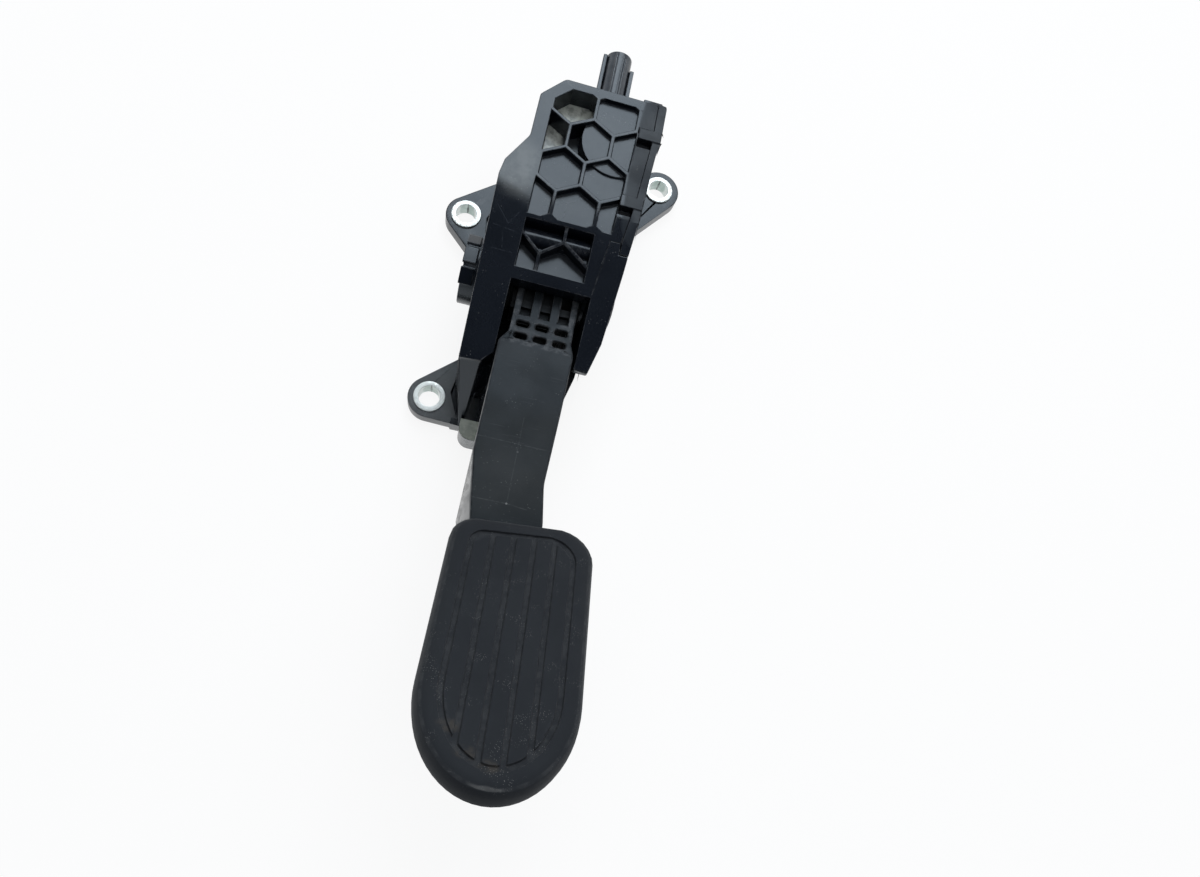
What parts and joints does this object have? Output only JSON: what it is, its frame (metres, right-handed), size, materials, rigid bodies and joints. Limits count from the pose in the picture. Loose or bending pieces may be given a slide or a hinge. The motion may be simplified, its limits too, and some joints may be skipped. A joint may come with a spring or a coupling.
{
  "type": "accelerator pedal",
  "caption": "Suspended accelerator pedal module: rubber-faced arm in a black honeycomb-ribbed housing with a snapped-on sensor cover, connector socket and sleeved bolt ears.",
  "frame": {"origin": "on the mounting face, straight under the pivot axis", "axes": "+Z away from the mounting face towards the driver, +Y up the bulkhead towards the connector, +X along the pivot axis towards the sensor cover"},
  "size_m": [0.1023, 0.3046, 0.1214],
  "materials": {
    "housing_nylon": "moulded black, satin",
    "arm_nylon": "moulded black, matte with fine scratches",
    "pad_rubber": "matte charcoal with dust in the grooves",
    "sleeve_zinc": "zinc plated",
    "shaft_steel": "ground",
    "spring_steel": "oiled spring wire",
    "bearing_resin": "natural self-lubricating resin",
    "yoke_steel": "plain",
    "magnet": "sintered, coated grey",
    "sensor": "moulded black",
    "terminal_tin": "tin plated"
  },
  "bodies": {
    "housing": {"housing": "housing_nylon", "sensor_cover": "housing_nylon", "mount_sleeve_lower": "sleeve_zinc", "mount_sleeve_upper": "sleeve_zinc", "mount_sleeve_right": "sleeve_zinc", "outer_return_spring": "spring_steel", "inner_return_spring": "spring_steel", "hall_sensor": "sensor", "terminal_1": "terminal_tin", "terminal_2": "terminal_tin", "terminal_3": "terminal_tin", "terminal_4": "terminal_tin", "terminal_5": "terminal_tin", "terminal_6": "terminal_tin"},
    "pedal": {"pedal_arm": "arm_nylon", "pedal_pad": "pad_rubber", "pivot_shaft": "shaft_steel", "pedal_rotor": "arm_nylon", "hysteresis_rotor": "bearing_resin", "friction_plate_left": "bearing_resin", "friction_plate_right": "bearing_resin", "spring_holder": "bearing_resin", "magnet_holder": "bearing_resin", "sensor_yoke": "yoke_steel", "magnet_front": "magnet", "magnet_rear": "magnet"}
  },
  "joints": [
    {"name": "pedal_pivot", "type": "hinge", "parent": "housing", "child": "pedal", "pos_m": [0, 0, 0.03], "axis": [1, 0, 0], "range_deg": [0, 16], "stiffness_Nm_per_rad": 8, "springref_deg": -17.19, "deforming": ["outer_return_spring", "inner_return_spring"]}
  ]
}
